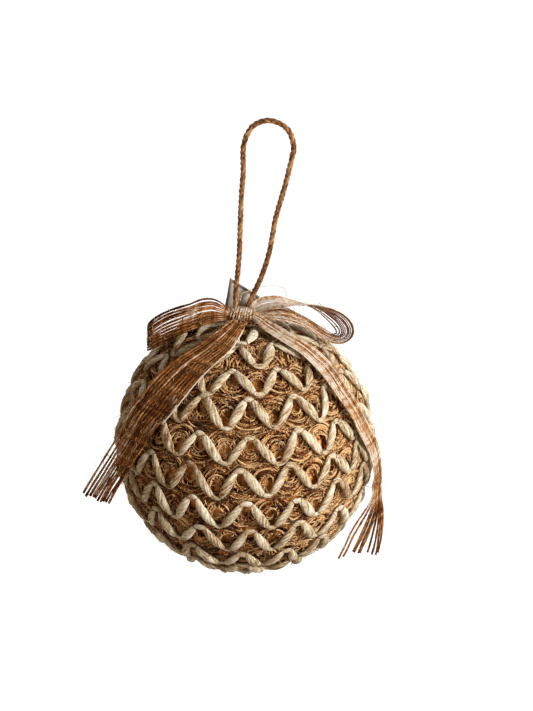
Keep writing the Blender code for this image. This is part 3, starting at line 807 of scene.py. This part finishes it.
def ribbon(name, sections, thick, tone, warps=10, fray=None, fray_tone=-0.3, ragged=1.5, weft_gap=2.2, weft_r=0.06,
           weft_tone=0.8, selvedge=None, flat=((0, 0.70),), bare=(0, 0), fuzz=220, drift=0.006, crowd=((0, 1.0),)):
    """thick, tone and flat are (mm along, value) pairs, and tone carries painted light and shade; selvedge is a bright
    thread on the second edge;
    bare is a stretch without wefts; crowd under 1 packs the warps towards the second edge."""
    left, right, normal, along = ribbon_surface(sections)
    n = len(left)
    batch = Batch()
    length = along[-1]
    thick, tone, flat = np.array(thick, float), np.array(tone, float), np.array(flat, float)
    size = np.interp(along, thick[:, 0], thick[:, 1])
    shade = np.interp(along, tone[:, 0], tone[:, 1])
    squash = np.interp(along, flat[:, 0], flat[:, 1])
    crowd = np.array(crowd, float)
    pack = np.interp(along, crowd[:, 0], crowd[:, 1])
    ks = (np.arange(warps) + 0.5) / warps
    width = np.linalg.norm(right - left, axis=1)
    radius = np.clip(width / RIBBON_W, 0.60, 1.0) * size
    for j in range(warps):
        f = np.clip(ks[j] ** pack + wobble(n, drift, 12, closed=False), 0.01, 0.99)[:, None]
        p = left * (1 - f) + right * f + normal * wobble(n, 0.08, 9, closed=False)[:, None]
        cut = n - int(rng.uniform(0, ragged))
        if fray is not None:
            cut = n
        p, nn, r, tn = p[:cut], normal[:cut], radius[:cut], shade[:cut]
        if fray is not None:
            q = np.vstack([p[-12::6], fray[j]])
            tail = smooth_route(q, 10)[20:]
            tail, _ = resample(tail, 1.0)
            p = np.vstack([p[:-1], tail])
            nn = np.vstack([nn[:-1], np.tile(nn[-1], (len(tail), 1))])
            r = np.concatenate([r[:-1], np.interp(np.arange(len(tail)), [0, 9, len(tail) - 1], [r[-1], 0.60, 0.60])])
            tn = np.concatenate([tn[:-1], np.interp(np.arange(len(tail)), [0, 9, len(tail) - 1],
                                                    [tn[-1], fray_tone, fray_tone])])
        sq = np.append(squash[:cut], np.full(max(0, len(p) - cut), squash[-1]))[:len(p)]
        tube(batch, p, r * (1 + wobble(len(p), 0.09, 3, closed=False)), nn, sides=8, flat=(sq[:, None, None], 1.0),
             tone=tn + rng.normal(0, 0.28) + wobble(len(p), 0.22, 12, closed=False), uv_twist=0.03)
    if selvedge is not None:
        lo, hi = (int(v / length * (n - 1)) for v in selvedge)
        p = right[lo:hi] + unit(right - left)[lo:hi] * (0.35 + wobble(hi - lo, 0.12, 8, closed=False))[:, None]
        tube(batch, p, 0.30, normal[lo:hi], sides=5, tone=1.2 + wobble(hi - lo, 0.3, 8, closed=False))
    # wefts: over one warp, under the next
    s = 0.8
    odd = False
    while s < length - 0.8:
        if bare[0] < s < bare[1]:
            s = bare[1]
        i = min(n - 1, int(s / length * (n - 1)))
        m = 2 * warps + 1
        f = np.linspace(0.01, 0.99, m)
        skew = rng.normal(0, 0.35)
        ii = np.clip(i + np.round(np.linspace(-skew, skew, m) + rng.normal(0, 0.15, m)).astype(int), 0, n - 1)
        wave = np.cos((f * warps - 0.5) * math.pi) * (1 if odd else -1)
        p = left[ii] * (1 - f[:, None]) + right[ii] * f[:, None] + normal[ii] * (wave * radius[ii] * 0.72)[:, None]
        tube(batch, p, weft_r, normal[ii], sides=3, tone=shade[i] + rng.normal(weft_tone, 0.3))
        odd = not odd
        s += weft_gap + rng.normal(0, 0.25)
    obj = batch.build(name, m_ribbon, "jute_ribbon", ["ribbon_bow"])
    FUZZY.append((left, right, normal, radius, shade, fuzz))
    return obj, length


FRAY = [   # the loose warps of the right tail, as they fall in the front view
    [(373.0, 494), (370.0, 502), (364.5, 511), (357.0, 522), (350.5, 533), (345.0, 545), (338.3, 558)],
    [(373.6, 495), (371.0, 504), (366.0, 514), (359.0, 526), (352.0, 538), (347.0, 549), (343.0, 556)],
    [(374.6, 494), (372.8, 504), (369.5, 514), (365.0, 525), (359.5, 537), (355.4, 546), (352.6, 551)],
    [(375.2, 495), (373.8, 505), (370.8, 515), (366.6, 526), (361.2, 538), (356.8, 546.5), (353.8, 552)],
    [(376.2, 496), (375.3, 507), (372.4, 518), (368.0, 529), (363.5, 539), (360.2, 547), (357.8, 553)],
    [(376.8, 496), (376.2, 508), (373.6, 519), (369.6, 530), (365.6, 540), (362.0, 547), (359.6, 552.5)],
    [(377.8, 496), (377.6, 509), (375.4, 521), (372.6, 533), (370.0, 543), (367.2, 552)],
    [(379.0, 496), (379.2, 511), (377.8, 524), (375.8, 537), (373.6, 547), (371.5, 554)],
    [(380.4, 496), (381.0, 511), (380.0, 525), (378.2, 538), (376.8, 548), (375.4, 554.5)],
    [(381.2, 496), (382.6, 510), (382.2, 524), (380.8, 537), (379.0, 546), (377.4, 552)],
]


def fray_paths():
    out = []
    for j, path in enumerate(FRAY):
        w0 = 11.5 - 8.5 * j / 9       # the outer edge lies further back
        w1 = 4.0 - 9.0 * j / 9
        ys = np.array([q[1] for q in path], float)
        out.append(np.array([seen(x, y, w0 + (w1 - w0) * (y - 490) / 62.0) for (x, y) in path]))
    return out[::-1]                  # warps run from the outer edge inwards


# painted light and shade in the tone pairs: the bow is painted lighter where it faces the light from the upper right
# (the right loop's top, the right tail, the left loop by the knot) and darker on the shaded left tail and on the right
# loop's inner face; the wefts' tones follow
loop_l, len_ll = ribbon("bow_loop_left", LOOP_LEFT, [(0, 0.56), (16, 0.52), (44, 0.50), (56, 0.54), (80, 0.56)],
                        [(0, 0.45), (20, -0.1), (42, -0.15), (80, -0.3)], weft_gap=4.0, weft_tone=-0.2, flat=((0, 0.60),),
                        bare=(28, 66), drift=0.012, fuzz=300)
loop_r, len_lr = ribbon("bow_loop_right", LOOP_RIGHT, [(0, 0.60), (16, 0.60), (26, 0.45), (34, 0.40), (50, 0.40), (58, 0.56), (90, 0.60)],
                        [(0, 1.0), (20, 0.9), (28, 0.3), (36, 0.1), (52, 0.1), (62, 0.3), (90, 0.6)], weft_gap=3.4, weft_tone=0.0,
                        flat=((0, 0.6), (24, 0.42), (56, 0.42), (66, 0.6)), bare=(24, 62), fuzz=300,
                        crowd=((0, 1.0), (22, 1.0), (30, 0.72), (50, 0.74), (60, 1.0)))
tail_l, len_tl = ribbon("bow_tail_left", TAIL_LEFT, [(0, 0.58), (66, 0.55), (80, 0.50), (110, 0.52)],
                        [(0, -0.05), (10, -0.25), (45, -0.3), (60, -0.4), (80, -0.2), (110, -0.15)], ragged=2.0, weft_gap=3.4,
                        weft_r=0.06, weft_tone=-0.35, selvedge=(10, 62), drift=0.010, fuzz=320, crowd=((0, 1.0), (60, 1.0), (80, 0.78)))
tail_r, len_tr = ribbon("bow_tail_right", TAIL_RIGHT, [(0, 0.62), (30, 0.66), (85, 0.66), (98, 0.52)],
                        [(0, 0.9), (30, 0.72), (60, 0.6), (80, 0.6), (94, 0.4), (100, -0.1)], weft_tone=0.3, drift=0.010, fuzz=340,
                        fray=fray_paths())


def knot():
    batch = Batch()
    cx, cy, cz = -1.2, 0.0, 54.9
    ribs = 9
    for j in range(ribs):
        f = (j + 0.5) / ribs * 2 - 1
        x = cx + f * 4.9
        a = np.linspace(0, 2 * math.pi, 40, endpoint=False)
        waist = 1 - 0.08 * (1 - abs(f)) + rng.normal(0, 0.02)
        end = math.sqrt(max(0.0, 1 - (abs(f) * 0.84) ** 4))
        ry, rz = 3.7 * waist * end, 2.45 * waist * end
        lean = 0.8 * np.sin(a + 0.5) * (0.7 - 0.3 * f) + wobble(40, 0.08, 6)
        p = np.stack([x + lean, cy + np.cos(a) * ry, cz + np.sin(a) * rz], 1)
        p, along = resample(p, 0.6, closed=True)
        nrm = unit((p - np.array([x, cy, cz])) * np.array([0, 1, 1]))
        # painted light: each rib is painted lighter on top and darker underneath, plus a random tone
        tn = 0.45 + 0.8 * (p[:, 2] - cz) / rz + rng.normal(0, 0.4) + wobble(len(p), 0.4, 5)
        tube(batch, p, 0.47 * (1 + wobble(len(p), 0.10, 4)), nrm, closed=True, sides=8, flat=(0.9, 1.0), tone=tn, along=along)
    # the ribbon's inner turns, that fill the wrap, painted dark as the shade between the ribs
    a = np.linspace(0, 2 * math.pi, 20, endpoint=False)
    xs = np.linspace(-4.3, 4.3, 12)
    prof = np.sqrt(np.clip(1 - (np.abs(xs) / 4.6) ** 4, 0.02, 1))
    ring = np.stack([np.stack([np.full(20, cx + x), cy + np.cos(-a) * 3.3 * pr, cz + np.sin(-a) * 2.1 * pr], 1)
                     for x, pr in zip(xs, prof)])
    batch.add(ring, xs - xs[0], False, -1.4)
    return batch.build("bow_knot", m_ribbon, "jute_ribbon", ["ribbon_bow"])


knot_obj = knot()


# =========================================================================================
# Twine: three plies
# =========================================================================================
def transported(path):
    t = tangents(path, False)
    n = np.zeros_like(path)
    v = np.array([0.0, 1.0, 0.0])
    for i in range(len(path)):
        v = v - t[i] * np.dot(v, t[i])
        v /= np.linalg.norm(v)
        n[i] = v
    return n


def twine():
    route = smooth_route(TWINE_ROUTE, 16)
    route, along = resample(route, 0.45)
    nrm = transported(route)
    bin_ = np.cross(tangents(route, False), nrm)
    batch = Batch()
    pitch = 6.6
    for k in range(3):
        a = along / pitch * 2 * math.pi + k * 2 * math.pi / 3
        off = nrm * np.cos(a)[:, None] + bin_ * np.sin(a)[:, None]
        p = route + off * 0.55
        size = 0.59 * (1 + wobble(len(p), 0.07, 6, closed=False))

        def ridge(ang, s):
            return 1 + 0.09 * np.cos(4 * ang + 2.2 * s)
        tube(batch, p, size, off, sides=9, ridge=ridge, tone=wobble(len(p), 0.4, 10, closed=False), uv_twist=-0.35)
    obj = batch.build("hanging_twine_plies", m_twine, "jute_twine", ["hanging_twine"])
    pts = to_row(route[::4])
    if len(route) % 4 != 1:
        pts = np.vstack([pts, to_row(route[-1:])])
    return route, nrm, float(along[-1])


twine_route, twine_normal, twine_len = twine()
print("LENGTHS twine", round(twine_len, 1), "loops", round(len_ll, 1), round(len_lr, 1), "tails", round(len_tl, 1),
      round(len_tr, 1))


# =========================================================================================
# Grey tab: a plain blank card with folded edges
# =========================================================================================
def solid_plate(batch, outline, y, thick, tone):
    """Upright plate from an outline (x, z), as rings of one closed shell."""
    o = np.asarray(outline, float)
    c = o.mean(axis=0)
    rings = []
    for yy, s in ((y - thick / 2, 0.985), (y - thick / 2 + 0.06, 1.0), (y + thick / 2 - 0.06, 1.0), (y + thick / 2, 0.985)):
        q = c + (o - c) * s
        rings.append(np.stack([q[:, 0], np.full(len(q), yy), q[:, 1]], 1))
    batch.add(np.stack(rings), np.array([0.0, 0.1, 0.5, 0.6]), False, tone)


def grey_tab():
    batch = Batch()
    face = [(-7.2, 52.7), (1.6, 52.7), (4.7, 58.4), (5.5, 59.9), (2.6, 61.8), (-1.8, 64.6), (-5.8, 67.3), (-8.0, 57.0), (-8.6, 53.0)]
    solid_plate(batch, face, 6.1, 0.35, 0.35)
    left = [(-8.6, 52.8), (-7.6, 52.8), (-5.1, 67.1), (-6.1, 67.9)]
    solid_plate(batch, left, 5.75, 0.3, -0.9)
    top = [(-5.2, 66.3), (5.0, 59.5), (5.7, 60.1), (-5.2, 67.3)]
    solid_plate(batch, top, 5.7, 0.3, -0.9)
    return batch.build("plain_grey_tab", m_grey, "grey_tab", ["grey_tab"], smooth=False)


grey_tab()


# =========================================================================================
# Stray hairs
# =========================================================================================
def hairs():
    batch = Batch()

    def fibre(base, up, side, length, rise, curl, r0, n, tone):
        side2 = np.cross(up, side)
        t = np.linspace(0, 1, n)[:, None]
        p = base + up * (length * (rise * t - 0.35 * rise * t ** 2)) + side * length * t * (1 - rise * 0.4) \
            + side2 * length * curl * t ** 2 * 0.5
        tube(batch, p, np.linspace(r0, r0 * 0.6, n), np.tile(up, (n, 1)), sides=3, tone=tone)

    # standing off the ball
    for _ in range(2200):
        lat, lon = math.degrees(math.asin(rng.uniform(-1, 1))), rng.uniform(0, 360)
        base = on_ball(lon, lat, rng.choice([48.8, 49.1, 50.6]))
        up = base / np.linalg.norm(base)
        side = unit(np.cross(up, rng.normal(0, 1, 3))[None])[0]
        fibre(base, up, side, rng.gamma(2.4, 1.0) + 1.2, rng.uniform(0.3, 1.1), rng.normal(0, 0.9), 0.10, 4,
              rng.normal(0.0, 0.6))
    # tangled strands on the braid
    for _ in range(760):
        lat, lon = math.degrees(math.asin(rng.uniform(-1, 1))), rng.uniform(0, 360)
        length = rng.uniform(3.0, 7.0)
        s = np.linspace(0, length, 5)
        ang = rng.uniform(0, 2 * math.pi) + rng.normal(0, 0.35) * s
        du = np.concatenate([[0], np.cumsum(np.cos(ang[:-1]) * length / 4)])
        dv = np.concatenate([[0], np.cumsum(np.sin(ang[:-1]) * length / 4)])
        la = np.clip(lat + np.degrees(dv / 48.8), -89, 89)
        lo = lon + np.degrees(du / 48.8) / max(0.12, math.cos(math.radians(lat)))
        p = on_ball(lo, la, LACE_R + np.array([-0.3, 0.35, 0.5, 0.35, -0.3]) + rng.uniform(-0.1, 0.2))
        tube(batch, p, rng.uniform(0.16, 0.27), unit(p), sides=3, tone=rng.normal(-0.1, 0.9))
    # lying across the braid
    for _ in range(3000):
        lat, lon = math.degrees(math.asin(rng.uniform(-1, 1))), rng.uniform(0, 360)
        length = rng.uniform(2.0, 5.0)
        head, bend = rng.choice([0.0, math.pi]) + rng.normal(0, 0.9), rng.normal(0, 0.9)
        n = 4
        s = np.linspace(0, length, n)
        ang = head + bend * s / length * 1.6
        ds = length / (n - 1)
        du = np.concatenate([[0], np.cumsum(np.cos(ang[:-1]) * ds)])
        dv = np.concatenate([[0], np.cumsum(np.sin(ang[:-1]) * ds)])
        la = np.clip(lat + np.degrees(dv / 48.4), -89, 89)
        lo = lon + np.degrees(du / 48.4) / max(0.12, math.cos(math.radians(lat)))
        h = LACE_R + rng.uniform(0.15, 0.6) + np.where(np.arange(n) % (n - 1) == 0, -0.3, 0.0)
        p = on_ball(lo, la, h)
        tube(batch, p, rng.uniform(0.09, 0.15), unit(p), sides=3, tone=rng.normal(0.2, 0.9))
    # fuzz of the bow: hairs that cross the warps, and hairs that stand off
    for left, right, normal, radius, shade, fuzz in FUZZY:
        for h in range(fuzz):
            i = int(rng.integers(1, len(left) - 1))
            f = rng.uniform(-0.01, 1.01)
            side = rng.choice([-1.0, 1.0])
            across = unit((right[i] - left[i])[None])[0] * rng.choice([-1.0, 1.0])
            run = unit((left[i + 1] - left[i - 1])[None])[0]
            base = left[i] * (1 - f) + right[i] * f + normal[i] * side * radius[i] * 0.5
            s = np.linspace(0, 1, 4)[:, None]
            length = rng.uniform(0.8, 2.6)
            rise = 0.10 if h % 5 else rng.uniform(0.2, 0.7)
            p = base + length * (across * s * rng.uniform(0.4, 1.0) + run * (s * rng.normal(0, 0.5) + s ** 2 * rng.normal(0, 0.5))
                                 + normal[i] * side * (0.12 + rise * s - 0.25 * rise * s ** 2))
            # the fuzz takes part of the ribbon's painted light and shade, plus a random tone
            tube(batch, p, rng.uniform(0.06, 0.11), np.tile(normal[i], (4, 1)), sides=3, tone=shade[i] * 0.6 + rng.normal(0.2, 0.6))
    # fuzz of the knot
    for _ in range(160):
        a, x = rng.uniform(0, 2 * math.pi), rng.uniform(-4.8, 4.8)
        base = np.array([-1.2 + x, 3.7 * math.cos(a), 54.9 + 2.45 * math.sin(a)])
        up = np.array([0.0, math.cos(a), math.sin(a)])
        side = unit(np.array([[rng.normal(0, 1.0), -math.sin(a), math.cos(a)]]))[0] * rng.choice([-1.0, 1.0])
        fibre(base + up * 0.25, up, side, rng.uniform(1.0, 2.6), rng.uniform(0.0, 0.3), rng.normal(0, 0.6), 0.10, 4,
              rng.normal(0.3, 0.6))
    # on the twine
    for _ in range(150):
        i = int(rng.integers(4, len(twine_route) - 4))
        base = twine_route[i]
        tan = unit((twine_route[i + 1] - twine_route[i - 1])[None])[0]
        up = unit(np.cross(tan, rng.normal(0, 1, 3))[None])[0]
        fibre(base + up * 0.9, up, tan * rng.choice([-1, 1]), rng.uniform(1.0, 3.2), rng.uniform(0.2, 0.7),
              rng.normal(0, 0.5), 0.05, 4, rng.normal(0.0, 0.4))
    # one long fibre that arches over the bow
    arc = [(240, 301, 23), (242, 293.5, 23), (247.8, 291, 23), (253.4, 288.5, 23), (259, 287, 22), (265, 286, 22),
           (273.8, 285, 21), (281.4, 287, 20), (285.5, 290, 19.5), (287, 298.3, 19)]
    p = smooth_route([seen(*q) for q in arc], 5)
    long_fibre = Batch()
    tube(long_fibre, p, 0.17, np.tile([0.0, -1.0, 0.0], (len(p), 1)), sides=5, tone=0.2)
    long_fibre.build("long_fibre", m_cream, "cream_cord")
    return batch.build("loose_fibres", m_hair, "jute_braid")


hairs()
print("TRIS all", sum(TOTAL))

# =========================================================================================
# Floor, light
# =========================================================================================
floor_mesh = bpy.data.meshes.new("floor")
zf = -1.0
floor_mesh.from_pydata([(-30, -30, zf), (30, -30, zf), (30, 30, zf), (-30, 30, zf)], [], [(0, 1, 2, 3)])
floor = bpy.data.objects.new("floor", floor_mesh)
bpy.context.scene.collection.objects.link(floor)
fmat = bpy.data.materials.new("floor_paper")
fmat.use_nodes = True
fb = fmat.node_tree.nodes["Principled BSDF"]
fb.inputs["Base Color"].default_value = (0.92, 0.92, 0.92, 1)
fb.inputs["Roughness"].default_value = 0.9
fb.inputs["Specular IOR Level"].default_value = 0.0
floor_mesh.materials.append(fmat)

world = bpy.data.worlds.new("studio")
bpy.context.scene.world = world
world.use_nodes = True
world.node_tree.nodes["Background"].inputs["Color"].default_value = (1.0, 0.86, 0.70, 1)
world.node_tree.nodes["Background"].inputs["Strength"].default_value = 0.15


def area_light(name, location, target, size, power, color=(1, 1, 1), spread=180.0):
    data = bpy.data.lights.new(name, "AREA")
    if isinstance(size, tuple):
        data.shape = "RECTANGLE"
        data.size, data.size_y = size
    else:
        data.shape = "DISK"
        data.size = size
    data.spread = math.radians(spread)
    data.energy = power
    data.color = color
    obj = bpy.data.objects.new(name, data)
    obj.location = location
    obj.rotation_euler = (Vector(target) - Vector(location)).to_track_quat("-Z", "Y").to_euler()
    bpy.context.scene.collection.objects.link(obj)
    return obj


ball_centre = Vector(to_row([0, 0, 0]))
area_light("key", ball_centre + Vector((0.68, -0.63, 0.47)), ball_centre, 0.42, 13.3, (1.0, 0.99, 0.97))
area_light("floor_wash", Vector((0.0, 3.2, 0.0)), Vector((0.0, 3.2001, -1.0)), (3.1, 5.3), 59.0, (1.0, 1.0, 1.0), 80.0)
area_light("fill", ball_centre + Vector((-0.5, -0.9, -0.1)), ball_centre, 0.6, 1.0, (1.0, 0.62, 0.32))
area_light("rim_left", ball_centre + Vector((-0.55, 0.5, 0.85)), ball_centre, 0.5, 2.6, (0.92, 0.96, 1.0))
area_light("rim_right", ball_centre + Vector((0.75, 0.45, 0.5)), ball_centre, 0.5, 4.4, (0.98, 0.99, 1.0))

scene = bpy.context.scene
scene.view_settings.view_transform = "Standard"
scene.view_settings.look = "None"
scene.view_settings.exposure = 0.0
